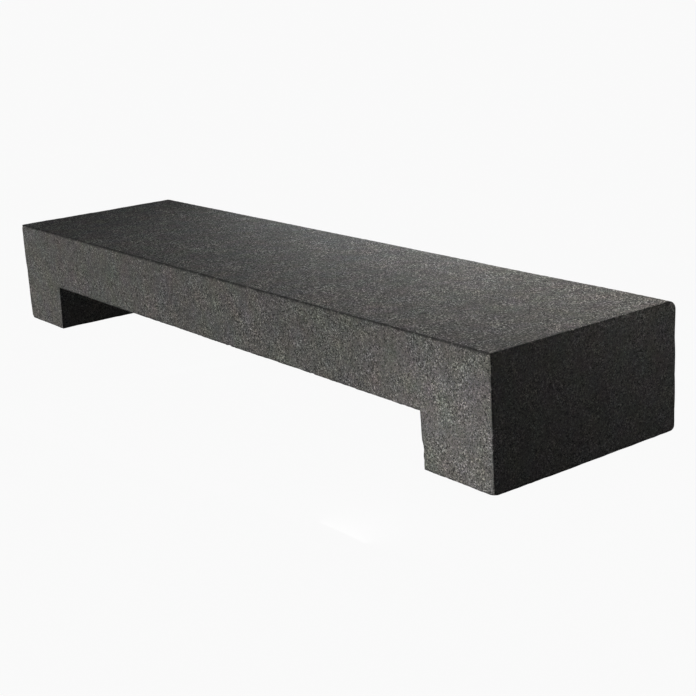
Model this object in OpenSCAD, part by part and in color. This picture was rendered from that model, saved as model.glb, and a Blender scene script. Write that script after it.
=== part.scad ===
// Backless street bench: a monolithic cast-stone staple, with the reinforcement cage, spacers,
// lifting sockets and foot sockets that are cast into it.
// Origin on the ground at the middle of the bench. +X runs along the seat, +Y to the back, +Z up.

/* [Bench] */
// Length of the seat, end face to end face
bench_l = 3000; // [2800:50:3200]
// Depth of the seat, front to back
bench_w = 770; // [740:10:840]
// Height of the seat above the ground
bench_h = 420; // [410:5:450]
// Thickness of the slab between the legs
slab_t = 237; // [230:1:250]
// Length of a leg along the bench, just under the slab
leg_l = 313; // [305:1:330]
// How much shorter a leg is at its sole, all of it on the inner face
leg_draft = 10; // [0:1:14]

/* [Edges] */
// Chamfer on the sharp outer edges
arris = 3; // [1:0.5:5]
// Radius of the edge between the seat and the back
back_top_r = 30; // [12:1:36]
// Radius of the edge between the back and the soles
back_sole_r = 18; // [8:1:22]

/* [Reinforcement] */
// Concrete cover over the outermost steel
cover = 35; // [30:1:38]
// Diameter of the closed links
link_d = 8; // [6:1:8]
// Centreline bend radius at the corners of a link
link_bend_r = 20; // [18:1:24]
// Distance between slab links
link_pitch = 200; // [190:10:220]
// Number of long bars across each layer
bars_across = 5; // [4:1:5]
// Diameter of the top bars and of the upright bars of the legs
top_bar_d = 10; // [8:1:10]
// Diameter of the bottom bars
bottom_bar_d = 12; // [10:1:12]
// Diameter of the side bars
side_bar_d = 8; // [6:1:8]
// Centreline bend radius of the bent bars
bar_bend_r = 25; // [25:1:30]
// How far a leg bar reaches into the slab, measured along the bench
leg_bar_reach = 350; // [250:10:420]
// Distance of a corner bar from the staple's inner corner
corner_bar_offset = 60; // [55:1:65]
// Length of a corner bar
corner_bar_l = 340; // [280:10:340]
// Distance of the outer corner bars from the middle of the depth
corner_bar_outer_y = 290; // [280:1:290]
// Distance of the inner corner bars from the middle of the depth
corner_bar_inner_y = 83; // [70:1:90]
// Height of the lowest link of a leg
leg_link_low_z = 60; // [50:1:65]
// Height of the next link of a leg
leg_link_mid_z = 140; // [130:1:145]

/* [Spacers] */
// Diameter of a cone spacer at the bar
spacer_base_d = 30; // [24:1:30]
// Diameter of a cone spacer at the face
spacer_tip_d = 8; // [6:1:12]
// Concrete skin left over the tip of a spacer
spacer_skin = 0.5; // [0.5:0.5:2]

/* [Sockets] */
// Diameter of the thread in every socket
thread_d = 16; // [12:1:16]
// Outside diameter of a socket
socket_d = 22; // [22:0.5:24]
// Length of a socket
socket_l = 75; // [70:1:80]
// Depth of the thread in a socket
thread_l = 48; // [40:1:50]
// Diameter of an anchor cross pin
pin_d = 10; // [8:1:10]
// Length of an anchor cross pin
pin_l = 110; // [90:5:120]
// Distance of the lifting sockets from the middle of the bench
lift_x = 800; // [790:5:810]
// Diameter of the recess around a lifting socket
lift_recess_d = 34; // [32:1:40]
// Depth of the recess around a lifting socket
lift_recess_h = 8; // [6:1:10]
// Distance of a foot socket from the nearest end of the bench
foot_inset = 155; // [150:1:160]
// Distance of all sockets from the middle of the depth
socket_y = 240; // [230:1:250]

/* [Hidden] */
$fn = 48;
CONCRETE = "#4b4a47";
BAR_STEEL = "#6e5647";
ZINC = "#b4b8ba";
BRIGHT_STEEL = "#8d9093";
FIBRE_CONCRETE = "#97948c";
BLACK_PLASTIC = "#26282a";

// Corner places: name, side along X, side along Y
CORNERS = [
    ["left_front", -1, -1],
    ["left_back", -1, 1],
    ["right_front", 1, -1],
    ["right_back", 1, 1]
];

eps = 1;                // overrun of a cutting shape
steel_gap = 0.5;        // space between bars that touch on the real bench
bar_room = 3;           // space between bars that pass each other
bar_end_room = 8;       // space between a bar's end and the bar it runs towards
tail_cover = 40;        // concrete under the feet of the upright bars
half_l = bench_l / 2;
half_w = bench_w / 2;
soffit_z = bench_h - slab_t;
leg_inner_x = half_l - leg_l;
foot_x = half_l - foot_inset;

// Centrelines of the slab links
link_y = half_w - cover - link_d / 2;
link_top_z = bench_h - cover - link_d / 2;
link_low_z = soffit_z + cover + link_d / 2;
link_w = 2 * link_y;
link_h = link_top_z - link_low_z;
link_margin = link_pitch / 4;   // least distance of a slab link from the leg
link_count = 2 * floor((leg_inner_x - link_margin) / link_pitch + 0.5);
link_xs = [for (i = [0:link_count - 1]) (i - (link_count - 1) / 2) * link_pitch];

// Centrelines of the leg links
leg_link_out_x = half_l - cover - link_d / 2;
leg_link_in_x = leg_inner_x + leg_draft / 2 + cover + link_d / 2;
leg_link_l = leg_link_out_x - leg_link_in_x;
leg_link_zs = [leg_link_low_z, leg_link_mid_z, soffit_z + slab_t / 2];

// A bar in a link's bent corner lies against the bend, not the two straight sides.
// Its place is rounded to 0.1 mm, so that the lengths of a bent bar meet end to end.
function corner_inset(d) =
    ceil(10 * (link_bend_r - (link_bend_r - link_d / 2 - d / 2 - steel_gap) / sqrt(2))) / 10;

top_inset = corner_inset(top_bar_d);
bottom_inset = corner_inset(bottom_bar_d);
top_bar_y = link_y - top_inset;
top_bar_z = link_top_z - top_inset;
bottom_bar_y = link_y - bottom_inset;
bottom_bar_z = link_low_z + bottom_inset;
tail_x = leg_link_out_x - top_inset;
bottom_bar_half_l = tail_x - top_bar_d / 2 - bar_end_room;
side_bar_y = link_y - link_d / 2 - steel_gap - side_bar_d / 2;
side_bar_z = leg_link_zs[2] + link_d / 2 + side_bar_d / 2 + bar_room;
leg_bar_x = leg_link_in_x + top_inset;
leg_bar_shift = top_bar_d / 2 + bottom_bar_d / 2 + bar_room;
corner_bar_ys = [-corner_bar_outer_y, -corner_bar_inner_y, corner_bar_inner_y, corner_bar_outer_y];

// Places of the spacers
spacer_links = [1, floor(link_count / 3), link_count - 1 - floor(link_count / 3), link_count - 2];
seat_spacer_ys = [-250, 250];
end_spacer_ys = [-80, 80];
spacer_bite = 2.5;      // how far a spacer's jaws pass the middle of the bar
spacer_play = 0.4;      // how much wider the groove is than the bar
spacer_reach = cover + link_d / 2 - spacer_skin;

socket_wall_end = 8;    // distance of a cross pin from the socket's closed end
pin_play = 0.1;
plug_play = 0.2;
plug_lip = 1;           // how far a plug's face stands inside the soffit
plug_stem_l = 18;
plug_slot_w = 3;
plug_slot_h = 3;

function spread(i, half) = half * (2 * i / (bars_across - 1) - 1);

module along_x(length, d) rotate([0, 90, 0]) cylinder(h = length, d = d, center = true);

module along_y(length, d) rotate([90, 0, 0]) cylinder(h = length, d = d, center = true);

// A quarter bend in the XY plane, centred on the origin, from +X towards +Y
module quarter_bend(r, d) rotate_extrude(angle = 90) translate([r, 0]) circle(d = d);

// A closed link in the XY plane, given by the size of its centreline
module closed_link(w, h) {
    for (sx = [-1, 1]) translate([sx * w / 2, 0, 0]) along_y(h - 2 * link_bend_r, link_d);
    for (sy = [-1, 1]) translate([0, sy * h / 2, 0]) along_x(w - 2 * link_bend_r, link_d);
    for (q = [0:3])
        rotate([0, 0, 90 * q])
            translate([
                (q % 2 == 0 ? w : h) / 2 - link_bend_r,
                (q % 2 == 0 ? h : w) / 2 - link_bend_r,
                0
            ])
                quarter_bend(link_bend_r, link_d);
}

// The bent end of a rod that runs along X at height z: it turns down at x and ends at foot_z
module bend_and_tail(x, z, foot_z, d) {
    bend_z = z - bar_bend_r;
    translate([x - bar_bend_r, 0, bend_z]) rotate([90, 0, 0]) quarter_bend(bar_bend_r, d);
    translate([x, 0, foot_z]) cylinder(h = bend_z - foot_z, d = d);
}

module both_ends() {
    children();
    mirror([1, 0, 0]) children();
}

// ---- the cast body ----

module staple_front_view() {
    foot_x_in = leg_inner_x + leg_draft;
    polygon([
        [-half_l + arris, 0], [-foot_x_in - arris, 0], [-foot_x_in, arris],
        [-leg_inner_x, soffit_z], [leg_inner_x, soffit_z],
        [foot_x_in, arris], [foot_x_in + arris, 0], [half_l - arris, 0],
        [half_l, arris], [half_l, bench_h - arris], [half_l - arris, bench_h],
        [-half_l + arris, bench_h], [-half_l, bench_h - arris], [-half_l, arris]
    ]);
}

// What a rounded corner of radius r takes off the corner at the origin, body towards -X and -Y
module corner_waste(r) {
    difference() {
        translate([-r, -r]) square(r + eps);
        translate([-r, -r]) circle(r = r);
    }
}

module slab_end_view() {
    difference() {
        polygon([
            [-half_w + arris, 0], [half_w, 0], [half_w, bench_h], [-half_w + arris, bench_h],
            [-half_w, bench_h - arris], [-half_w, arris]
        ]);
        translate([half_w, bench_h]) corner_waste(back_top_r);
        translate([half_w, 0]) mirror([0, 1]) corner_waste(back_sole_r);
    }
}

module slab_plan_view() {
    polygon([
        [-half_l + arris, -half_w], [half_l - arris, -half_w], [half_l, -half_w + arris],
        [half_l, half_w - arris], [half_l - arris, half_w], [-half_l + arris, half_w],
        [-half_l, half_w - arris], [-half_l, -half_w + arris]
    ]);
}

module staple() {
    intersection() {
        translate([0, half_w + eps, 0]) rotate([90, 0, 0])
            linear_extrude(height = bench_w + 2 * eps) staple_front_view();
        translate([-half_l - eps, 0, 0]) rotate([90, 0, 90])
            linear_extrude(height = bench_l + 2 * eps) slab_end_view();
        translate([0, 0, -eps]) linear_extrude(height = bench_h + 2 * eps) slab_plan_view();
    }
}

module concrete_body() {
    color(CONCRETE) difference() {
        staple();
        top_bars();
        bottom_bars();
        side_bars();
        slab_links();
        both_ends() {
            leg_bars();
            leg_links();
            corner_bars();
            end_spacers(grooved = false);
        }
        seat_spacers(grooved = false);
        side_spacers(grooved = false);
        mirror([0, 1, 0]) side_spacers(grooved = false);
        for (c = CORNERS) {
            at_lifting_socket(c) {
                socket_blank();
                cross_pin();
                translate([0, 0, -lift_recess_h - eps])
                    cylinder(h = lift_recess_h + eps, d = lift_recess_d);
            }
            at_foot_socket(c) {
                socket_blank();
                cross_pin();
            }
        }
    }
}

// ---- the reinforcement cage ----

module top_bars() {
    color(BAR_STEEL)
        for (i = [0:bars_across - 1])
            translate([0, spread(i, top_bar_y), 0]) {
                translate([0, 0, top_bar_z]) along_x(2 * (tail_x - bar_bend_r), top_bar_d);
                for (a = [0, 180])
                    rotate([0, 0, a]) bend_and_tail(tail_x, top_bar_z, tail_cover, top_bar_d);
            }
}

module bottom_bars() {
    color(BAR_STEEL)
        for (i = [0:bars_across - 1])
            translate([0, spread(i, bottom_bar_y), bottom_bar_z])
                along_x(2 * bottom_bar_half_l, bottom_bar_d);
}

module side_bars() {
    color(BAR_STEEL)
        for (sy = [-1, 1])
            translate([0, sy * side_bar_y, side_bar_z])
                along_x(2 * bottom_bar_half_l, side_bar_d);
}

module slab_links() {
    color(BAR_STEEL)
        for (x = link_xs)
            translate([x, 0, (link_top_z + link_low_z) / 2])
                rotate([90, 0, 90]) closed_link(link_w, link_h);
}

// The right leg's bars: each stands beside a top bar, on the side nearer the middle
module leg_bars() {
    reach = leg_bar_reach - bar_bend_r;
    color(BAR_STEEL)
        for (i = [0:bars_across - 1]) {
            y = spread(i, top_bar_y);
            translate([0, y - (y > 0 ? 1 : -1) * leg_bar_shift, 0]) {
                translate([leg_bar_x - bar_bend_r - reach / 2, 0, top_bar_z]) along_x(reach, top_bar_d);
                bend_and_tail(leg_bar_x, top_bar_z, tail_cover, top_bar_d);
            }
        }
}

module leg_links() {
    color(BAR_STEEL)
        for (z = leg_link_zs)
            translate([(leg_link_in_x + leg_link_out_x) / 2, 0, z])
                closed_link(leg_link_l, link_w);
}

// The right corner's bars cross the line of a crack that would start at the inner corner
module corner_bars() {
    middle_x = leg_inner_x + corner_bar_offset / sqrt(2);
    middle_z = soffit_z + corner_bar_offset / sqrt(2);
    color(BAR_STEEL)
        for (y = corner_bar_ys)
            translate([middle_x, y, middle_z])
                rotate([0, 45, 0]) along_x(corner_bar_l, top_bar_d);
}

// ---- the spacers ----

// A cone on a bar along X through the origin, with its tip towards +Z at reach from the bar
module cone_spacer(reach, grooved) {
    difference() {
        translate([0, 0, -spacer_bite])
            cylinder(h = reach + spacer_bite, d1 = spacer_base_d, d2 = spacer_tip_d);
        if (grooved) along_x(spacer_base_d + 2 * eps, link_d + spacer_play);
    }
}

module seat_spacers(grooved = true) {
    color(FIBRE_CONCRETE)
        for (i = spacer_links, y = seat_spacer_ys)
            translate([link_xs[i], y, link_top_z])
                rotate([0, 0, 90]) cone_spacer(spacer_reach, grooved);
}

// On the front of the cage
module side_spacers(grooved = true) {
    color(FIBRE_CONCRETE)
        for (i = spacer_links)
            translate([link_xs[i], -link_y, (link_top_z + link_low_z) / 2])
                rotate([90, 90, 0]) cone_spacer(spacer_reach, grooved);
}

// On the right end of the cage
module end_spacers(grooved = true) {
    color(FIBRE_CONCRETE)
        for (y = end_spacer_ys)
            translate([leg_link_out_x, y, leg_link_zs[1]])
                rotate([90, 0, 90]) cone_spacer(spacer_reach, grooved);
}

// ---- the sockets ----

// A socket stands on its mouth at the origin and runs up
module at_lifting_socket(c) {
    translate([c[1] * lift_x, c[2] * socket_y, soffit_z + lift_recess_h]) children();
}

module at_foot_socket(c) {
    translate([c[1] * foot_x, c[2] * socket_y, 0]) children();
}

module socket_blank() cylinder(h = socket_l, d = socket_d);

module cross_pin() translate([0, 0, socket_l - socket_wall_end - pin_d / 2]) along_x(pin_l, pin_d);

module threaded_socket() {
    color(ZINC) difference() {
        socket_blank();
        translate([0, 0, -eps]) cylinder(h = thread_l + eps, d = thread_d);
        translate([0, 0, socket_l - socket_wall_end - pin_d / 2])
            along_x(socket_d + 2 * eps, pin_d + 2 * pin_play);
    }
}

module anchor_pin() color(BRIGHT_STEEL) cross_pin();

module recess_plug() {
    color(BLACK_PLASTIC) difference() {
        union() {
            translate([0, 0, plug_lip - lift_recess_h])
                cylinder(h = lift_recess_h - plug_lip - plug_play, d = lift_recess_d - 2 * plug_play);
            translate([0, 0, -plug_play])
                cylinder(h = plug_stem_l + plug_play, d = thread_d - 2 * plug_play);
        }
        translate([-lift_recess_d / 4, -plug_slot_w / 2, -lift_recess_h])
            cube([lift_recess_d / 2, plug_slot_w, plug_lip + plug_slot_h]);
    }
}

concrete_body();
top_bars();
bottom_bars();
side_bars();
slab_links();
mirror([1, 0, 0]) leg_bars();  // left_leg_bars
leg_bars();  // right_leg_bars
mirror([1, 0, 0]) leg_links();  // left_leg_links
leg_links();  // right_leg_links
mirror([1, 0, 0]) corner_bars();  // left_corner_bars
corner_bars();  // right_corner_bars
seat_spacers();
side_spacers();  // front_spacers
mirror([0, 1, 0]) side_spacers();  // back_spacers
mirror([1, 0, 0]) end_spacers();  // left_end_spacers
end_spacers();  // right_end_spacers
for (c = CORNERS) {
    at_lifting_socket(c) threaded_socket();
    at_lifting_socket(c) anchor_pin();
    at_lifting_socket(c) recess_plug();
    at_foot_socket(c) threaded_socket();
    at_foot_socket(c) anchor_pin();
}
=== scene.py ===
"""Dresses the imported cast-stone bench: its pieces, floor, light and camera."""
import math

import bpy
import numpy as np
from bpy.props import FloatProperty, FloatVectorProperty, IntProperty, PointerProperty
from mathutils import Matrix, Vector


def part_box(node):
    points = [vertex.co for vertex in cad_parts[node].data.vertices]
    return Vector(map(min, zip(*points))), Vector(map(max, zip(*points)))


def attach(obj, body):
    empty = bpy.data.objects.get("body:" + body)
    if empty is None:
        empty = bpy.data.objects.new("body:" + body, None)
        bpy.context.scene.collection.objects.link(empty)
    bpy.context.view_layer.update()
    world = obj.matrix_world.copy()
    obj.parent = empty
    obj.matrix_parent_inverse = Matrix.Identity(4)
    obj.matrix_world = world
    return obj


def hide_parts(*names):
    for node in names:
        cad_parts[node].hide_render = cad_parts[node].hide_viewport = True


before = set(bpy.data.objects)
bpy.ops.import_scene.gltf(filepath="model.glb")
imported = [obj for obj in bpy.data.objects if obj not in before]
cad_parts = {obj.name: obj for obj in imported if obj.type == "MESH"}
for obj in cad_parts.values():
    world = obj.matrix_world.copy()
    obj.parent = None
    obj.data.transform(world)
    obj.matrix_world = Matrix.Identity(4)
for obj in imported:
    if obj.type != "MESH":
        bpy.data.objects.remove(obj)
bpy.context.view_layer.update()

bl_info = {
    "name": "Cast-Stone Bench Dresser",
    "version": (1, 0, 0),
    "blender": (4, 5, 0),
    "location": "View3D > Sidebar > Bench",
    "description": "Builds the visible pieces and finishes of a cast-stone bench around its packed frame",
    "category": "Object",
}

MM = 0.001
BODY_LOW, BODY_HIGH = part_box("concrete_body")
BENCH_L = BODY_HIGH[0] - BODY_LOW[0]
BENCH_W = BODY_HIGH[1] - BODY_LOW[1]
BENCH_H = BODY_HIGH[2] - BODY_LOW[2]
CORNERS = ("left_front", "left_back", "right_front", "right_back")
REINFORCEMENT = (
    "top_bars", "bottom_bars", "side_bars", "slab_links",
    "left_leg_bars", "right_leg_bars", "left_leg_links", "right_leg_links",
    "left_corner_bars", "right_corner_bars",
)
SPACERS = ("seat_spacers", "front_spacers", "back_spacers", "left_end_spacers", "right_end_spacers")


# ---- settings ----

class BenchShapeSettings(bpy.types.PropertyGroup):
    """Sizes of the cast body that the frame's boxes don't give"""
    slab_thickness: FloatProperty(
        name="Slab thickness", description="Thickness of the slab between the legs",
        default=0.237, min=0.1, unit="LENGTH")
    leg_length: FloatProperty(
        name="Leg length", description="Length of a leg along the bench, just under the slab",
        default=0.313, min=0.1, unit="LENGTH")
    leg_draft: FloatProperty(
        name="Leg draft", description="How much shorter a leg is at its sole",
        default=0.010, min=0.0, unit="LENGTH")
    arris_radius: FloatProperty(
        name="Arris radius", description="Mean rounding of the sharp outer edges",
        default=0.0022, min=0.0005, unit="LENGTH")
    back_top_radius: FloatProperty(
        name="Back top radius", description="Rounding of the edge between the seat and the back",
        default=0.030, min=0.002, unit="LENGTH")
    back_sole_radius: FloatProperty(
        name="Back sole radius", description="Rounding of the edge between the back and the soles",
        default=0.018, min=0.002, unit="LENGTH")
    corner_wear: FloatProperty(
        name="Corner wear", description="How deep the front foot corners are worn off",
        default=0.004, min=0.0005, unit="LENGTH")
    column_pitch: FloatProperty(
        name="Column pitch", description="Distance between mesh lines along the bench",
        default=0.006, min=0.003, unit="LENGTH")
    row_pitch: FloatProperty(
        name="Row pitch", description="Distance between mesh lines across the flat faces",
        default=0.030, min=0.006, unit="LENGTH")
    waviness: FloatProperty(
        name="Waviness", description="Height of the mould's gentle waves in the faces",
        default=0.0003, min=0.0, unit="LENGTH")
    raggedness: FloatProperty(
        name="Raggedness", description="Height of the small unevenness that frays the edges",
        default=0.00022, min=0.0, unit="LENGTH")
    chip_count: IntProperty(
        name="Chips", description="Broken spots along the edges", default=230, min=0)
    seed: IntProperty(name="Seed", description="Start of the random draws", default=11, min=0)


class BenchFinishSettings(bpy.types.PropertyGroup):
    """Colours of the finishes and the stone's grain"""
    gravel_size: FloatProperty(
        name="Gravel size", description="Width of the light and dark grains in the stone",
        default=0.0038, min=0.001, unit="LENGTH")
    sand_size: FloatProperty(
        name="Sand size", description="Width of the sand grains between them",
        default=0.0022, min=0.0005, unit="LENGTH")
    stone_colour: FloatVectorProperty(
        name="Stone", description="Mean colour of the anthracite cast stone",
        default=(0.0819, 0.0790, 0.0741), size=3, min=0.0, max=1.0, subtype="COLOR")
    bar_colour: FloatVectorProperty(
        name="Bars", description="Mill scale on the reinforcing bars",
        default=(0.11, 0.085, 0.07), size=3, min=0.0, max=1.0, subtype="COLOR")
    rust_colour: FloatVectorProperty(
        name="Rust", description="Light rust on the reinforcing bars",
        default=(0.22, 0.085, 0.035), size=3, min=0.0, max=1.0, subtype="COLOR")
    spacer_colour: FloatVectorProperty(
        name="Spacers", description="Fibre concrete of the spacers",
        default=(0.30, 0.29, 0.26), size=3, min=0.0, max=1.0, subtype="COLOR")
    zinc_colour: FloatVectorProperty(
        name="Zinc", description="Zinc plating of the sockets",
        default=(0.60, 0.62, 0.64), size=3, min=0.0, max=1.0, subtype="COLOR")
    pin_colour: FloatVectorProperty(
        name="Pins", description="Drawn steel of the anchor pins",
        default=(0.42, 0.43, 0.45), size=3, min=0.0, max=1.0, subtype="COLOR")
    plug_colour: FloatVectorProperty(
        name="Plugs", description="Black plastic of the plugs",
        default=(0.016, 0.017, 0.018), size=3, min=0.0, max=1.0, subtype="COLOR")


class BenchStageSettings(bpy.types.PropertyGroup):
    """Floor, light and camera"""
    floor_size: FloatProperty(
        name="Floor size", description="Width of the square floor", default=400.0, unit="LENGTH")
    floor_tone: FloatProperty(
        name="Floor tone", description="Brightness of the pale floor", default=0.95, min=0.0, max=1.0)
    camera_place: FloatVectorProperty(
        name="Camera place",
        description="Camera's place, in bench heights from the ground under the middle",
        default=(9.9127, -6.7683, 3.5541), size=3)
    camera_yaw: FloatProperty(
        name="Camera yaw", description="Turn of the view to the left of straight at the front",
        default=0.9323, subtype="ANGLE")
    camera_pitch: FloatProperty(
        name="Camera pitch", description="Tilt of the view below the horizon",
        default=0.2792, subtype="ANGLE")
    camera_roll: FloatProperty(
        name="Camera roll", description="Roll of the camera about its view",
        default=-0.0589, subtype="ANGLE")
    camera_lens: FloatProperty(
        name="Lens", description="Focal length on a 36 mm sensor", default=71.43, subtype="DISTANCE_CAMERA")


# ---- mesh code for the cast body ----

EDGE_STEPS = (1.2 * MM, 2.8 * MM, 5.5 * MM, 10 * MM)
WIDE_EDGE_STEPS = EDGE_STEPS + (15 * MM, 22 * MM, 30 * MM, 42 * MM)


def graded(low, high, low_steps, high_steps, pitch):
    """Mesh lines from low to high: fine ladders at the ends that ask for them, evenly spaced between."""
    start = low + (low_steps[-1] if low_steps else 0.0)
    stop = high - (high_steps[-1] if high_steps else 0.0)
    count = max(1, math.ceil((stop - start) / pitch - 1e-6))
    lines = [low, high]
    lines += [low + s for s in low_steps]
    lines += [high - s for s in high_steps]
    lines += list(np.linspace(start, stop, count + 1))
    return lines


def merged(lines):
    """Sorted lines without doubles."""
    return np.unique(np.round(np.array(lines), 7))


def mirrored(lines):
    return merged(list(lines) + [-v for v in lines])


def round_max(a, b, radius):
    """Distance to the meeting of two solids, with the edge between them rounded."""
    bend = np.sqrt(np.maximum(a + radius, 0.0) ** 2 + np.maximum(b + radius, 0.0) ** 2)
    return np.minimum(-radius, np.maximum(a, b)) + bend


class Ripple:
    """Smooth repeatable unevenness: a sum of waves in random directions."""

    def __init__(self, rng, wavelength, count=28):
        directions = rng.normal(size=(count, 3))
        directions /= np.linalg.norm(directions, axis=1)[:, None]
        lengths = wavelength * rng.uniform(0.6, 1.7, count)
        self.waves = directions * (2 * math.pi / lengths)[:, None]
        self.phases = rng.uniform(0.0, 2 * math.pi, count)
        self.scale = math.sqrt(2.0 / count)

    def __call__(self, points):
        return self.scale * np.sin(points @ self.waves.T + self.phases).sum(axis=1)


# How coarsely each face is blasted: top, sole, back, front, end, opening
FACE_GRIT = (1.0, 0.25, 0.42, 0.42, 0.25, 0.25)
HOLE_GRIT = 0.2
CHIP_DEPTH_FULL = 1.0 * MM      # a broken spot this deep shows its pale inside fully
# how far from an edge the stone's colour is darkened
EDGE_DARK_WIDTH = 4.5 * MM
DRAFT_REACH = 40 * MM           # how far from a leg's inner face the mesh follows its draft
SLOPE_STEP = 0.1 * MM
LARGEST_MOVE = 20 * MM


class CastShape:
    """The staple as a distance field, with its drafts, rounded edges, waves and broken spots."""

    def __init__(self, s):
        self.s = s
        self.soffit = BENCH_H - s.slab_thickness
        self.leg_in = BENCH_L / 2 - s.leg_length
        rng = np.random.default_rng(s.seed)
        self.rng = rng
        self.long_wave = Ripple(rng, 0.45)
        self.short_wave = Ripple(rng, 0.022)
        self.edge_wave = Ripple(rng, 0.09)
        self.chips = []

    def leg_inner_x(self, z):
        """Where a leg's inner face lies at height z."""
        return self.leg_in + self.s.leg_draft * (1.0 - np.clip(z / self.soffit, 0.0, 1.0))

    def faces(self, p):
        """Signed distances past each face: top, sole, back, front, end and opening."""
        x, y, z = np.abs(p[:, 0]), p[:, 1], p[:, 2]
        opening = -np.maximum(z - self.soffit, x - self.leg_inner_x(z))
        return np.stack([
            z - BENCH_H, -z, y - BENCH_W / 2, -BENCH_W / 2 - y, x - BENCH_L / 2, opening])

    def distance(self, p):
        s = self.s
        top, sole, back, front, end, opening = self.faces(p)
        arris = s.arris_radius * np.clip(1.0 + 0.45 * self.edge_wave(p), 0.45, 2.4)
        d = round_max(top, back, s.back_top_radius)
        d = round_max(d, sole, s.back_sole_radius)
        for face in (front, end, opening):
            d = round_max(d, face, arris)
        foot_corner = (end + front + sole) / math.sqrt(3) + s.corner_wear
        d = round_max(d, foot_corner, 2 * s.corner_wear)
        return d + s.waviness * self.long_wave(p) + s.raggedness * self.short_wave(p)

    def chipped(self, p):
        d = self.distance(p)
        for centre, radius, near in self.chips:
            bite = radius - np.linalg.norm(p[near] - centre, axis=1)
            d[near] = np.maximum(d[near], bite)
        return d

    def settle(self, p, field, rounds=4):
        """Moves each point onto the field's surface along its slope."""
        for _ in range(rounds):
            d = field(p)
            slope = np.empty_like(p)
            for axis in range(3):
                q = p.copy()
                q[:, axis] += SLOPE_STEP
                slope[:, axis] = (field(q) - d) / SLOPE_STEP
            length = np.maximum((slope ** 2).sum(axis=1), 0.05)
            p = p - np.clip(d / length, -LARGEST_MOVE, LARGEST_MOVE)[:, None] * slope
        return p

    def edges(self):
        """Outer edges as (start, end, outward direction, share of the chips)."""
        hl, hw, h, sz = BENCH_L / 2, BENCH_W / 2, BENCH_H, self.soffit
        foot = self.leg_in + self.s.leg_draft
        rows = [
            ((-hl, -hw, h), (hl, -hw, h), (0, -1, 1), 10),
            ((-self.leg_in, -hw, sz), (self.leg_in, -hw, sz), (0, -1, -1), 6),
            ((-self.leg_in, hw, sz), (self.leg_in, hw, sz), (0, 1, -1), 3),
        ]
        for side in (-1, 1):
            rows += [
                ((side * hl, -hw, 0), (side * hl, -hw, h), (side, -1, 0), 4),
                ((side * hl, hw, 0.02), (side * hl, hw, h - 0.04), (side, 1, 0), 2),
                ((side * hl, -hw, h), (side * hl, hw - 0.04, h), (side, 0, 1), 3),
                ((side * hl, -hw, 0), (side * hl, hw - 0.02, 0), (side, 0, -1), 2),
                ((side * foot, -hw, 0), (side * self.leg_in, -hw, sz), (-side, -1, 0), 2),
                ((side * foot, -hw, 0), (side * hl, -hw, 0), (0, -1, -1), 2),
                ((side * foot, -hw, 0), (side * foot, hw - 0.02, 0), (-side, 0, -1), 1),
            ]
        return rows

    def break_edges(self, p):
        """Draws the broken spots and notes which points of p each one can reach."""
        rows = self.edges()
        shares = np.array([r[3] for r in rows], float)
        picks = self.rng.choice(len(rows), size=self.s.chip_count, p=shares / shares.sum())
        for k in picks:
            start, end, out, _ = (np.array(v, float) for v in rows[k])
            size = self.rng.random() ** 2.2
            radius = (4.0 + 20.0 * size) * MM
            depth = (0.8 + 2.0 * size * self.rng.uniform(0.5, 1.0)) * MM
            out = out / np.linalg.norm(out) + self.rng.normal(scale=0.25, size=3)
            out /= np.linalg.norm(out)
            centre = start + (end - start) * self.rng.random() + out * (radius - depth)
            near = np.nonzero(((p - centre) ** 2).sum(axis=1) < (radius + 12 * MM) ** 2)[0]
            self.chips.append((centre, radius, near))

    def edge_share(self, p, width):
        """1 on the edge between seat and front, less on the other edges, and 0 away from them."""
        faces = self.faces(p)
        order = np.argsort(faces, axis=0)
        second = np.take_along_axis(faces, order[-2:-1], axis=0)[0]
        sharp = np.isin(order[-1], (0, 3)) & np.isin(order[-2], (0, 3))
        return np.exp(-np.maximum(-second, 0.0) / width) * np.where(sharp, 1.0, 0.6)

    def grit_share(self, p):
        """How coarsely the nearest face is blasted."""
        return np.array(FACE_GRIT)[np.argmax(self.faces(p), axis=0)]


def socket_places():
    """Middle of each socket seen from below, with the height of its mouth's face and its recess."""
    places = []
    for corner in CORNERS:
        for kind in ("lifting", "foot"):
            low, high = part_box(f"{kind}_socket_{corner}")
            x, y = (low[0] + high[0]) / 2, (low[1] + high[1]) / 2
            places.append((kind, x, y, low[2], high[2], (high[0] - low[0]) / 2))
    return places


HOLE_BLOCK = 0.024      # half of the square of mesh cells that a socket's hole replaces
BLOCK_X, BLOCK_Y = 8, 6  # cells of that square


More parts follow.
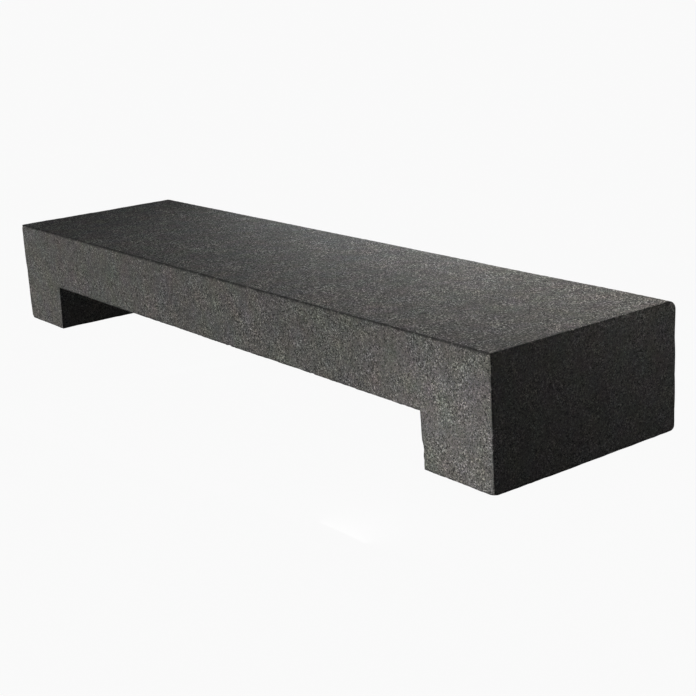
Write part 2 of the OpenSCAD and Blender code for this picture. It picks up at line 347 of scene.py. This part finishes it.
class CastMesh:
    """Grid of the staple's skin, with round holes for the sockets."""

    def __init__(self, shape, s):
        self.shape, self.s = shape, s
        self.places = socket_places()
        lift_x = abs(self.places[0][1])
        foot_x = abs(self.places[1][1])
        hole_y = abs(self.places[0][2])
        self.leg_line = round(shape.leg_in + s.leg_draft / 3, 4)
        pitch, rows = s.column_pitch, s.row_pitch
        self.xs = mirrored(
            graded(0.0, lift_x - HOLE_BLOCK, (), (), pitch)
            + list(np.linspace(lift_x - HOLE_BLOCK, lift_x + HOLE_BLOCK, BLOCK_X + 1))
            + graded(lift_x + HOLE_BLOCK, self.leg_line, (), EDGE_STEPS, pitch)
            + graded(self.leg_line, foot_x - HOLE_BLOCK, EDGE_STEPS, (), pitch)
            + list(np.linspace(foot_x - HOLE_BLOCK, foot_x + HOLE_BLOCK, BLOCK_X + 1))
            + graded(foot_x + HOLE_BLOCK, BENCH_L / 2, (), EDGE_STEPS, pitch))
        self.ys = mirrored(
            graded(0.0, hole_y - HOLE_BLOCK, (), (), rows)
            + list(np.linspace(hole_y - HOLE_BLOCK, hole_y + HOLE_BLOCK, BLOCK_Y + 1))
            + graded(hole_y + HOLE_BLOCK, BENCH_W / 2, (), WIDE_EDGE_STEPS, rows))
        self.zs = merged(
            graded(0.0, shape.soffit, WIDE_EDGE_STEPS, EDGE_STEPS, rows)
            + graded(shape.soffit, BENCH_H, EDGE_STEPS, WIDE_EDGE_STEPS, rows))

    def skin(self):
        """Quads between full and empty cells, as rows of four lattice places, wound outwards."""
        xs, ys, zs = self.xs, self.ys, self.zs
        mid_x, mid_z = (xs[1:] + xs[:-1]) / 2, (zs[1:] + zs[:-1]) / 2
        column = (np.abs(mid_x)[:, None] > self.leg_line) | (mid_z[None, :] > self.shape.soffit)
        full = np.zeros((len(xs) + 1, len(ys) + 1, len(zs) + 1), bool)
        full[1:-1, 1:-1, 1:-1] = column[:, None, :]
        quads = []
        for axis in range(3):
            below = np.take(full, range(full.shape[axis] - 1), axis)
            above = np.take(full, range(1, full.shape[axis]), axis)
            u, v = (axis + 1) % 3, (axis + 2) % 3
            for outward, hit in ((True, below & ~above), (False, above & ~below)):
                cell = np.argwhere(hit)
                corner = cell.copy()
                corner[:, u] -= 1
                corner[:, v] -= 1
                ring = []
                for du, dv in ((0, 0), (1, 0), (1, 1), (0, 1)):
                    c = corner.copy()
                    c[:, u] += du
                    c[:, v] += dv
                    ring.append(c)
                if not outward:
                    ring.reverse()
                quads.append(np.stack(ring, axis=1))
        return np.concatenate(quads)

    def block_of(self, place):
        """Lattice span that a socket's hole replaces: (i0, i1, j0, j1, k)."""
        kind, x, y = place[:3]
        i0 = int(np.argmin(np.abs(self.xs - (x - HOLE_BLOCK))))
        j0 = int(np.argmin(np.abs(self.ys - (y - HOLE_BLOCK))))
        face = self.shape.soffit if kind == "lifting" else 0.0
        return i0, i0 + BLOCK_X, j0, j0 + BLOCK_Y, int(np.argmin(np.abs(self.zs - face)))

    def without_blocks(self, quads):
        """Leaves out the quads that the sockets' holes replace."""
        keep = np.ones(len(quads), bool)
        flat = (quads[:, :, 2] == quads[:, :1, 2]).all(axis=1)
        low, high = quads.min(axis=1), quads.max(axis=1)
        for place in self.places:
            i0, i1, j0, j1, k = self.block_of(place)
            keep &= ~(flat & (low[:, 2] == k) & (low[:, 0] >= i0) & (high[:, 0] <= i1)
                      & (low[:, 1] >= j0) & (high[:, 1] <= j1))
        return quads[keep]

    def number(self, places):
        """One number for each lattice place."""
        nx, ny, nz = len(self.xs), len(self.ys), len(self.zs)
        return (places[..., 0] * ny + places[..., 1]) * nz + places[..., 2]

    def lattice_points(self, places):
        p = np.stack([self.xs[places[:, 0]], self.ys[places[:, 1]], self.zs[places[:, 2]]], axis=1)
        pull = np.clip(1.0 - np.abs(np.abs(p[:, 0]) - self.leg_line) / DRAFT_REACH, 0.0, 1.0)
        move = self.shape.leg_inner_x(p[:, 2]) - self.leg_line
        p[:, 0] += np.sign(p[:, 0]) * pull * move
        return p

    def build(self, name):
        quads = self.without_blocks(self.skin())
        numbers = self.number(quads)
        used, first, index = np.unique(numbers.reshape(-1), return_index=True, return_inverse=True)
        faces = [tuple(row) for row in index.reshape(-1, 4)]
        places = quads.reshape(-1, 3)[first]
        points = self.lattice_points(places)
        self.shape.break_edges(points)
        smooth = self.shape.settle(points.copy(), self.shape.distance)
        points = self.shape.settle(points, self.shape.chipped)
        points[:, 2] = np.maximum(points[:, 2], 0.0)
        broken = np.clip(np.linalg.norm(points - smooth, axis=1) / CHIP_DEPTH_FULL, 0.0, 1.0)
        edge = self.shape.edge_share(smooth, EDGE_DARK_WIDTH)
        grit = self.shape.grit_share(smooth)
        points, broken, edge, grit = list(points), list(broken), list(edge), list(grit)
        lookup = {int(n): i for i, n in enumerate(used)}
        for place in self.places:
            self.add_hole(place, points, faces, lookup)
        broken += [0.0] * (len(points) - len(broken))
        edge += [0.0] * (len(points) - len(edge))
        grit += [HOLE_GRIT] * (len(points) - len(grit))
        mesh = bpy.data.meshes.new(name)
        mesh.from_pydata([tuple(p) for p in points], [], faces)
        for label, values in (("broken", broken), ("edge", edge), ("grit", grit)):
            layer = mesh.attributes.new(label, "FLOAT", "POINT")
            layer.data.foreach_set("value", np.array(values, dtype=np.float32))
        mesh.shade_smooth()
        mesh.validate()
        return mesh

    def add_hole(self, place, points, faces, lookup):
        """Rings from the square edge of a block to a round hole, up its wall, and a closed top."""
        kind, x, y, low_z, high_z, socket_r = place
        i0, i1, j0, j1, k = self.block_of(place)
        border = (
            [(i1, j) for j in range(j0, j1)] + [(i, j1) for i in range(i1, i0, -1)]
            + [(i0, j) for j in range(j1, j0, -1)] + [(i, j0) for i in range(i0, i1)])
        sides = [BLOCK_Y, BLOCK_X, BLOCK_Y, BLOCK_X]
        angles = []
        for q, count in enumerate(sides):
            angles += [math.radians(-45 + 90 * (q + t / count)) for t in range(count)]
        ring = [lookup[int(self.number(np.array([i, j, k])))] for i, j in border]
        face_z = self.shape.soffit if kind == "lifting" else 0.0
        wall_r = socket_r + 0.05 * MM
        if kind == "lifting":
            plug_low, plug_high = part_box("lifting_plug_" + CORNERS[0])
            recess_r = (plug_high[0] - plug_low[0]) / 2 + 0.3 * MM
            levels = [
                (recess_r + 3.0 * MM, face_z), (recess_r + 0.8 * MM, face_z), (recess_r, face_z + 0.8 * MM),
                (recess_r, low_z), (wall_r, low_z), (wall_r, high_z)]
        else:
            levels = [
                (wall_r + 5.0 * MM, face_z), (wall_r + 0.5 * MM, face_z), (wall_r, face_z + 0.5 * MM),
                (wall_r, high_z)]
        for radius, z in levels:
            start = len(points)
            points += [np.array([x + radius * math.cos(a), y + radius * math.sin(a), z]) for a in angles]
            new = list(range(start, len(points)))
            self.bridge(ring, new, faces)
            ring = new
        faces.append(tuple(ring))

    @staticmethod
    def bridge(outer, inner, faces):
        n = len(outer)
        for t in range(n):
            u = (t + 1) % n
            faces.append((outer[t], inner[t], inner[u], outer[u]))


# ---- material code ----

class Finish:
    """A material with its principled shader, and short calls that add and link nodes."""

    def __init__(self, name):
        self.material = bpy.data.materials.new(name)
        self.material.use_nodes = True
        self.tree = self.material.node_tree
        self.tree.nodes.clear()
        self.output = self.tree.nodes.new("ShaderNodeOutputMaterial")
        self.shader = self.tree.nodes.new("ShaderNodeBsdfPrincipled")
        self.tree.links.new(self.shader.outputs["BSDF"], self.output.inputs["Surface"])
        coords = self.tree.nodes.new("ShaderNodeTexCoord")
        self.place = coords.outputs["Object"]

    def put(self, socket, value):
        if isinstance(value, bpy.types.NodeSocket):
            self.tree.links.new(value, socket)
        else:
            socket.default_value = value

    def set(self, **values):
        """Sets or links the shader's own sockets; an underscore in a name stands for a space."""
        for name, value in values.items():
            self.put(self.shader.inputs[name.replace("_", " ")], value)

    def math(self, operation, *values):
        node = self.tree.nodes.new("ShaderNodeMath")
        node.operation = operation
        for socket, value in zip(node.inputs, values):
            self.put(socket, value)
        return node.outputs[0]

    def span(self, value, from_low, from_high, to_low, to_high, smooth=False):
        """Maps a value from one range to another, kept inside it."""
        node = self.tree.nodes.new("ShaderNodeMapRange")
        node.interpolation_type = "SMOOTHSTEP" if smooth else "LINEAR"
        for socket, v in zip(node.inputs, (value, from_low, from_high, to_low, to_high)):
            self.put(socket, v)
        return node.outputs[0]

    def noise(self, size, detail=2.0, roughness=0.5, place=None, colour=False):
        """Noise whose features are about size metres wide."""
        node = self.tree.nodes.new("ShaderNodeTexNoise")
        self.put(node.inputs["Vector"], place or self.place)
        self.put(node.inputs["Scale"], 1.0 / size)
        self.put(node.inputs["Detail"], detail)
        self.put(node.inputs["Roughness"], roughness)
        return node.outputs["Color" if colour else "Fac"]

    def cells(self, size):
        """Grains about size metres wide: their distance field and a random colour for each."""
        node = self.tree.nodes.new("ShaderNodeTexVoronoi")
        self.put(node.inputs["Vector"], self.place)
        self.put(node.inputs["Scale"], 1.0 / size)
        return node.outputs["Distance"], node.outputs["Color"]

    def channels(self, colour):
        node = self.tree.nodes.new("ShaderNodeSeparateColor")
        self.put(node.inputs[0], colour)
        return node.outputs[0], node.outputs[1], node.outputs[2]

    def blend(self, share, first, second, mode="MIX"):
        node = self.tree.nodes.new("ShaderNodeMix")
        node.data_type = "RGBA"
        node.blend_type = mode
        self.put(node.inputs[0], share)
        self.put(node.inputs[6], first)
        self.put(node.inputs[7], second)
        return node.outputs[2]

    def brighten(self, colour, factor):
        """Colour times a factor."""
        node = self.tree.nodes.new("ShaderNodeVectorMath")
        node.operation = "SCALE"
        self.put(node.inputs[0], colour if isinstance(colour, bpy.types.NodeSocket) else colour[:3])
        self.put(node.inputs["Scale"], factor)
        return node.outputs[0]

    def attribute(self, name):
        node = self.tree.nodes.new("ShaderNodeAttribute")
        node.attribute_name = name
        return node.outputs["Fac"]

    def bump(self, height, distance, strength=1.0, under=None):
        node = self.tree.nodes.new("ShaderNodeBump")
        self.put(node.inputs["Height"], height)
        self.put(node.inputs["Distance"], distance)
        self.put(node.inputs["Strength"], strength)
        if under is not None:
            self.put(node.inputs["Normal"], under)
        return node.outputs["Normal"]


def rgba(colour):
    return (colour[0], colour[1], colour[2], 1.0)


def stone_finish(colour, gravel_size, sand_size):
    """Anthracite cast stone, finely blasted: grains, dark pores, mottling, pale broken spots and a darker
    broken line along the edges.
    """
    f = Finish("anthracite_cast_stone")
    coarse_dist, coarse_colour = f.cells(gravel_size)
    bright, deep, hue = f.channels(coarse_colour)
    fine_dist, fine_colour = f.cells(sand_size)
    fine, fleck, _ = f.channels(fine_colour)
    clump = f.noise(11 * MM, detail=4.0, roughness=0.65)
    patch = f.noise(0.10, detail=4.0, roughness=0.6)
    cloud = f.noise(0.38, detail=2.0, roughness=0.5)
    grit = f.attribute("grit")
    spread = f.span(patch, 0.36, 0.62, 0.65, 1.2, smooth=True)
    coarse_share = f.math("MULTIPLY", spread, f.span(grit, 0.0, 1.0, 0.4, 3.0))

    light_grain = f.span(bright, 0.76, 1.0, 0.0, 1.4)
    dark_grain = f.span(deep, 0.70, 0.95, 0.0, 0.8)
    grain = f.math("MULTIPLY", f.math("SUBTRACT", light_grain, dark_grain), coarse_share)
    sand = f.math("SUBTRACT", f.span(fine, 0.0, 1.0, -0.55, 0.6), f.span(fleck, 0.72, 0.9, 0.0, 0.7))
    sand = f.math("MULTIPLY", sand, spread)
    lump = f.math("MULTIPLY", f.span(clump, 0.3, 0.7, -0.1, 0.1), f.span(grit, 0.2, 1.0, 0.5, 1.3))
    tone = f.math("ADD", f.math("ADD", f.math("ADD", grain, sand), lump), 1.04)
    tone = f.math("MULTIPLY", tone, f.span(patch, 0.3, 0.7, 0.94, 1.06))
    tone = f.math("MULTIPLY", tone, f.span(cloud, 0.3, 0.7, 0.92, 1.08))

    # Darkens the colour in a broken line along the edges, most on the edge between seat and front.
    edge_dark_breaks = f.span(f.noise(0.035, detail=4.0, roughness=0.7), 0.36, 0.52, 0.1, 1.0, smooth=True)
    edge_dark_share = f.math("MULTIPLY", f.attribute("edge"), edge_dark_breaks)
    tone = f.math("MULTIPLY", tone, f.span(edge_dark_share, 0.08, 0.45, 1.0, 0.18))
    tone = f.math("MULTIPLY", tone, f.span(f.attribute("broken"), 0.0, 1.0, 1.0, 1.8))

    tint = f.noise(0.09, detail=2.0, roughness=0.6, colour=True)
    tinted = f.blend(0.16, rgba(colour), tint, "SOFT_LIGHT")
    olive = rgba([c * k for c, k in zip(colour, (1.12, 1.06, 0.8))])
    tinted = f.blend(f.span(hue, 0.7, 1.0, 0.0, 0.4), tinted, olive)
    base = f.brighten(tinted, f.math("MAXIMUM", tone, 0.12))

    dome = f.math("SUBTRACT", f.span(bright, 0.0, 1.0, 0.6, 1.0), coarse_dist)
    dome = f.math("SUBTRACT", dome, f.span(deep, 0.68, 0.95, 0.0, 0.9))
    dome = f.math("MULTIPLY", dome, f.span(grit, 0.2, 1.0, 0.3, 1.2))
    normal = f.bump(f.math("MULTIPLY", clump, f.span(grit, 0.2, 1.0, 0.4, 1.3)), 3.0 * MM, 0.35)
    normal = f.bump(dome, 1.6 * MM, 0.8, normal)
    normal = f.bump(f.math("ADD", fine, fine_dist), 0.4 * MM, 0.6, normal)
    f.set(Base_Color=base, Roughness=f.span(fine, 0.0, 1.0, 0.78, 0.95), Normal=normal)
    f.shader.inputs["Specular IOR Level"].default_value = 0.35
    return f.material


def bar_finish(colour, rust):
    """Mill scale with light rust in patches."""
    f = Finish("reinforcing_bar_steel")
    patch = f.noise(18 * MM, detail=5.0, roughness=0.65)
    grit = f.noise(0.9 * MM, detail=2.0, roughness=0.6)
    rusty = f.span(f.math("ADD", patch, f.math("MULTIPLY", grit, 0.35)), 0.58, 0.80, 0.0, 1.0, smooth=True)
    base = f.blend(rusty, rgba(colour), rgba(rust))
    base = f.brighten(base, f.span(grit, 0.25, 0.75, 0.7, 1.35))
    f.set(
        Base_Color=base,
        Metallic=f.span(rusty, 0.0, 1.0, 0.75, 0.05),
        Roughness=f.span(rusty, 0.0, 1.0, 0.48, 0.9),
        Normal=f.bump(grit, 0.3 * MM, 0.6),
    )
    return f.material


def fibre_concrete_finish(colour):
    """Pressed fibre concrete: short pale fibres in a grey paste."""
    f = Finish("fibre_concrete")
    grit = f.noise(0.8 * MM, detail=3.0, roughness=0.6)
    patch = f.noise(9 * MM, detail=3.0)
    fibre_dist, _ = f.cells(2.0 * MM)
    fibre = f.span(fibre_dist, 0.05, 0.22, 1.3, 1.0)
    tone = f.math("MULTIPLY", f.span(grit, 0.3, 0.7, 0.8, 1.15), f.span(patch, 0.3, 0.7, 0.92, 1.06))
    base = f.brighten(f.brighten(rgba(colour), tone), fibre)
    f.set(Base_Color=base, Roughness=f.span(grit, 0.3, 0.7, 0.8, 0.95), Normal=f.bump(grit, 0.4 * MM, 0.7))
    return f.material


def metal_finish(name, colour, rough_low, rough_high, draw_size):
    """Plated or drawn steel: faint streaks, cloudy gloss and small marks."""
    f = Finish(name)
    stretch = f.tree.nodes.new("ShaderNodeMapping")
    f.put(stretch.inputs["Vector"], f.place)
    stretch.inputs["Scale"].default_value = (1.0, 1.0, 0.08)
    streak = f.noise(draw_size, detail=3.0, roughness=0.6, place=stretch.outputs["Vector"])
    cloud = f.noise(6 * MM, detail=3.0)
    mark = f.span(f.noise(1.6 * MM, detail=4.0, roughness=0.7), 0.60, 0.72, 0.0, 1.0)
    tone = f.math("MULTIPLY", f.span(streak, 0.3, 0.7, 0.86, 1.08), f.span(cloud, 0.3, 0.7, 0.9, 1.05))
    tone = f.math("MULTIPLY", tone, f.span(mark, 0.0, 1.0, 1.0, 0.6))
    f.set(
        Base_Color=f.brighten(rgba(colour), tone),
        Roughness=f.math(
            "ADD", f.span(cloud, 0.3, 0.7, rough_low, rough_high), f.math("MULTIPLY", mark, 0.2)),
        Normal=f.bump(streak, 0.05 * MM, 0.5),
    )
    f.shader.inputs["Metallic"].default_value = 1.0
    return f.material


def plug_finish(colour):
    """Moulded black plastic, dusty with cement."""
    f = Finish("moulded_black_plastic")
    fine = f.noise(0.5 * MM, detail=2.0)
    dust = f.span(f.noise(5 * MM, detail=5.0, roughness=0.7), 0.5, 0.75, 0.0, 0.55, smooth=True)
    base = f.blend(dust, rgba(colour), (0.16, 0.155, 0.145, 1.0))
    f.set(
        Base_Color=f.brighten(base, f.span(fine, 0.3, 0.7, 0.88, 1.1)),
        Roughness=f.span(dust, 0.0, 0.55, 0.42, 0.85),
        Normal=f.bump(fine, 0.08 * MM, 0.4),
    )
    return f.material


def dress(node, material):
    """Puts a finish on a node that keeps its own shape."""
    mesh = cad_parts[node].data
    mesh.materials.clear()
    mesh.materials.append(material)


# ---- operators ----

class BENCH_OT_cast_body(bpy.types.Operator):
    """Build the cast body's skin with its worn edges and socket holes"""
    bl_idname = "bench.cast_body"
    bl_label = "Cast Body"

    def execute(self, context):
        shape_settings = context.scene.bench_shape
        shape = CastShape(shape_settings)
        mesh = CastMesh(shape, shape_settings).build("cast_body_skin")
        finish = context.scene.bench_finish
        mesh.materials.append(stone_finish(finish.stone_colour, finish.gravel_size, finish.sand_size))
        body = bpy.data.objects.new("cast_body", mesh)
        context.scene.collection.objects.link(body)
        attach(body, "root")
        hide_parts("concrete_body")
        return {"FINISHED"}


class BENCH_OT_finish_steel(bpy.types.Operator):
    """Put mill scale and rust on the reinforcement cage"""
    bl_idname = "bench.finish_steel"
    bl_label = "Reinforcement"

    def execute(self, context):
        finish = context.scene.bench_finish
        material = bar_finish(finish.bar_colour, finish.rust_colour)
        for node in REINFORCEMENT:
            dress(node, material)
        return {"FINISHED"}


class BENCH_OT_finish_spacers(bpy.types.Operator):
    """Put fibre concrete on the cone spacers"""
    bl_idname = "bench.finish_spacers"
    bl_label = "Spacers"

    def execute(self, context):
        material = fibre_concrete_finish(context.scene.bench_finish.spacer_colour)
        for node in SPACERS:
            dress(node, material)
        return {"FINISHED"}


class BENCH_OT_finish_sockets(bpy.types.Operator):
    """Put zinc plating on the sockets and bright steel on their pins"""
    bl_idname = "bench.finish_sockets"
    bl_label = "Sockets and Pins"

    def execute(self, context):
        finish = context.scene.bench_finish
        zinc = metal_finish("zinc_plating", finish.zinc_colour, 0.28, 0.45, 1.2 * MM)
        steel = metal_finish("drawn_pin_steel", finish.pin_colour, 0.35, 0.5, 0.6 * MM)
        for corner in CORNERS:
            for kind in ("lifting", "foot"):
                dress(f"{kind}_socket_{corner}", zinc)
                dress(f"{kind}_pin_{corner}", steel)
        return {"FINISHED"}


class BENCH_OT_finish_plugs(bpy.types.Operator):
    """Put moulded plastic on the plugs of the lifting sockets"""
    bl_idname = "bench.finish_plugs"
    bl_label = "Plugs"

    def execute(self, context):
        material = plug_finish(context.scene.bench_finish.plug_colour)
        for corner in CORNERS:
            dress(f"lifting_plug_{corner}", material)
        return {"FINISHED"}


# ---- stage ----

WORLD_FILL = 0.075      # strength of the even light from all around
SKY_TINT = (0.80, 0.89, 1.00, 1.0)
WHITE = (1.0, 1.0, 1.0, 1.0)
WARM = (1.0, 0.975, 0.945)
PLAIN = (0.985, 0.99, 0.98)
COOL = (0.92, 0.96, 1.0)
PAPER_SEEN = (0.006, 0.006, 0.006, 1.0)
PAPER_AS_SOURCE = (0.10, 0.10, 0.10, 1.0)
# name, place, aim, size, watts, tint
LIGHTS = (
    ("front_softbox", (-2.3, -6.0, 1.0), (0.0, -0.4, 0.25), (3.0, 1.0), 318.0, PLAIN),
    ("back_softbox", (1.1, 0.75, 1.3), (0.86, 0.0, 0.42), (2.4, 0.8), 20.5, WARM),
    ("back_strip", (-0.3, 0.75, 0.7), (-0.24, 0.0, 0.42), (1.8, 0.5), 7.0, COOL),
    ("near_card", (1.39, -0.85, 0.05), (1.38, -0.385, 0.14), (0.2, 0.3), 3.1, PLAIN),
    ("far_card", (-1.42, -0.85, 0.04), (-1.4, -0.385, 0.12), (0.3, 0.3), 0.5, PLAIN),
    ("long_card", (0.6, -1.0, 0.03), (0.5, -0.385, 0.25), (1.8, 0.4), 2.9, PLAIN),
    ("end_card", (2.1, 0.72, 0.5), (1.5, 0.2, 0.32), (0.5, 0.3), 0.58, COOL),
    ("inner_card", (-0.2, -0.3, 0.06), (-1.18, 0.0, 0.1), (0.3, 0.1), 0.35, COOL),
)


def floor_finish(tone):
    """Pale studio paper: pale to the camera, quiet as a source of light on the bench."""
    f = Finish("studio_paper")
    fibre = f.noise(0.004, detail=2.0)
    f.set(Base_Color=f.brighten(PAPER_SEEN, f.span(fibre, 0.3, 0.7, 0.9, 1.0)), Roughness=0.9)
    f.shader.inputs["Specular IOR Level"].default_value = 0.0
    f.shader.inputs["Emission Color"].default_value = WHITE
    f.shader.inputs["Emission Strength"].default_value = tone
    dim = f.tree.nodes.new("ShaderNodeBsdfDiffuse")
    dim.inputs["Color"].default_value = PAPER_AS_SOURCE
    path = f.tree.nodes.new("ShaderNodeLightPath")
    mix = f.tree.nodes.new("ShaderNodeMixShader")
    f.tree.links.new(path.outputs["Is Camera Ray"], mix.inputs["Fac"])
    f.tree.links.new(dim.outputs[0], mix.inputs[1])
    f.tree.links.new(f.shader.outputs[0], mix.inputs[2])
    f.tree.links.new(mix.outputs[0], f.output.inputs["Surface"])
    return f.material


def camera_matrix(place, yaw, pitch, roll):
    """Camera's pose from its place, the turn to the left, the tilt down and the roll."""
    forward = Vector((-math.sin(yaw) * math.cos(pitch), math.cos(yaw) * math.cos(pitch), -math.sin(pitch)))
    right = Vector((math.cos(yaw), math.sin(yaw), 0.0))
    up = right.cross(forward)
    rolled_right = right * math.cos(roll) + up * math.sin(roll)
    rolled_up = up * math.cos(roll) - right * math.sin(roll)
    turn = Matrix((rolled_right, rolled_up, -forward)).transposed().to_4x4()
    return Matrix.Translation(place) @ turn


class BENCH_OT_set_stage(bpy.types.Operator):
    """Lay the floor, hang the soft lights and place the camera"""
    bl_idname = "bench.set_stage"
    bl_label = "Stage"

    def execute(self, context):
        scene = context.scene
        stage = scene.bench_stage
        self.lay_floor(scene, stage)
        self.set_world(scene, stage)
        self.hang_lights(scene)
        camera_data = bpy.data.cameras.new("camera")
        camera_data.sensor_width = 36.0
        camera_data.lens = stage.camera_lens
        camera_data.clip_end = stage.floor_size * 2
        camera = bpy.data.objects.new("camera", camera_data)
        camera.matrix_world = camera_matrix(
            Vector(stage.camera_place) * BENCH_H, stage.camera_yaw, stage.camera_pitch, stage.camera_roll)
        scene.collection.objects.link(camera)
        scene.camera = camera
        scene.view_settings.view_transform = "Standard"
        return {"FINISHED"}

    @staticmethod
    def lay_floor(scene, stage):
        half = stage.floor_size / 2
        mesh = bpy.data.meshes.new("floor")
        mesh.from_pydata(
            [(-half, -half, 0), (half, -half, 0), (half, half, 0), (-half, half, 0)], [], [(0, 1, 2, 3)])
        floor = bpy.data.objects.new("floor", mesh)
        floor.location.z = -0.2 * MM
        scene.collection.objects.link(floor)
        mesh.materials.append(floor_finish(stage.floor_tone))

    @staticmethod
    def set_world(scene, stage):
        world = bpy.data.worlds.new("studio")
        world.use_nodes = True
        tree = world.node_tree
        tree.nodes.clear()
        output = tree.nodes.new("ShaderNodeOutputWorld")
        path = tree.nodes.new("ShaderNodeLightPath")
        seen = tree.nodes.new("ShaderNodeBackground")
        seen.inputs["Color"].default_value = WHITE
        seen.inputs["Strength"].default_value = stage.floor_tone
        fill = tree.nodes.new("ShaderNodeBackground")
        fill.inputs["Color"].default_value = SKY_TINT
        fill.inputs["Strength"].default_value = WORLD_FILL
        mix = tree.nodes.new("ShaderNodeMixShader")
        tree.links.new(path.outputs["Is Camera Ray"], mix.inputs["Fac"])
        tree.links.new(fill.outputs[0], mix.inputs[1])
        tree.links.new(seen.outputs[0], mix.inputs[2])
        tree.links.new(mix.outputs[0], output.inputs["Surface"])
        scene.world = world

    @staticmethod
    def hang_lights(scene):
        for name, place, aim, size, watts, tint in LIGHTS:
            data = bpy.data.lights.new(name, "AREA")
            data.shape = "RECTANGLE"
            data.size, data.size_y = size
            data.energy = watts
            data.color = tint
            light = bpy.data.objects.new(name, data)
            light.location = place
            light.rotation_euler = (Vector(aim) - Vector(place)).to_track_quat("-Z", "Y").to_euler()
            light.visible_camera = False
            scene.collection.objects.link(light)


# ---- panel and registration ----

OPERATORS = (
    BENCH_OT_cast_body,
    BENCH_OT_finish_steel,
    BENCH_OT_finish_spacers,
    BENCH_OT_finish_sockets,
    BENCH_OT_finish_plugs,
    BENCH_OT_set_stage,
)


class BENCH_PT_dresser(bpy.types.Panel):
    """Lists the settings and the steps that dress the bench"""
    bl_label = "Cast-Stone Bench"
    bl_idname = "BENCH_PT_dresser"
    bl_space_type = "VIEW_3D"
    bl_region_type = "UI"
    bl_category = "Bench"

    def draw(self, context):
        layout = self.layout
        for name in ("bench_shape", "bench_finish", "bench_stage"):
            box = layout.box()
            group = getattr(context.scene, name)
            for prop in group.bl_rna.properties:
                if prop.identifier not in ("rna_type", "name"):
                    box.prop(group, prop.identifier)
        for operator in OPERATORS:
            layout.operator(operator.bl_idname)


GROUPS = (
    ("bench_shape", BenchShapeSettings),
    ("bench_finish", BenchFinishSettings),
    ("bench_stage", BenchStageSettings),
)


def register():
    for name, group in GROUPS:
        bpy.utils.register_class(group)
        setattr(bpy.types.Scene, name, PointerProperty(type=group))
    for operator in OPERATORS:
        bpy.utils.register_class(operator)
    bpy.utils.register_class(BENCH_PT_dresser)


def unregister():
    bpy.utils.unregister_class(BENCH_PT_dresser)
    for operator in reversed(OPERATORS):
        bpy.utils.unregister_class(operator)
    for name, group in reversed(GROUPS):
        delattr(bpy.types.Scene, name)
        bpy.utils.unregister_class(group)


def main():
    register()
    bpy.ops.bench.cast_body()
    bpy.ops.bench.finish_steel()
    bpy.ops.bench.finish_spacers()
    bpy.ops.bench.finish_sockets()
    bpy.ops.bench.finish_plugs()
    bpy.ops.bench.set_stage()


if __name__ == "__main__":
    main()
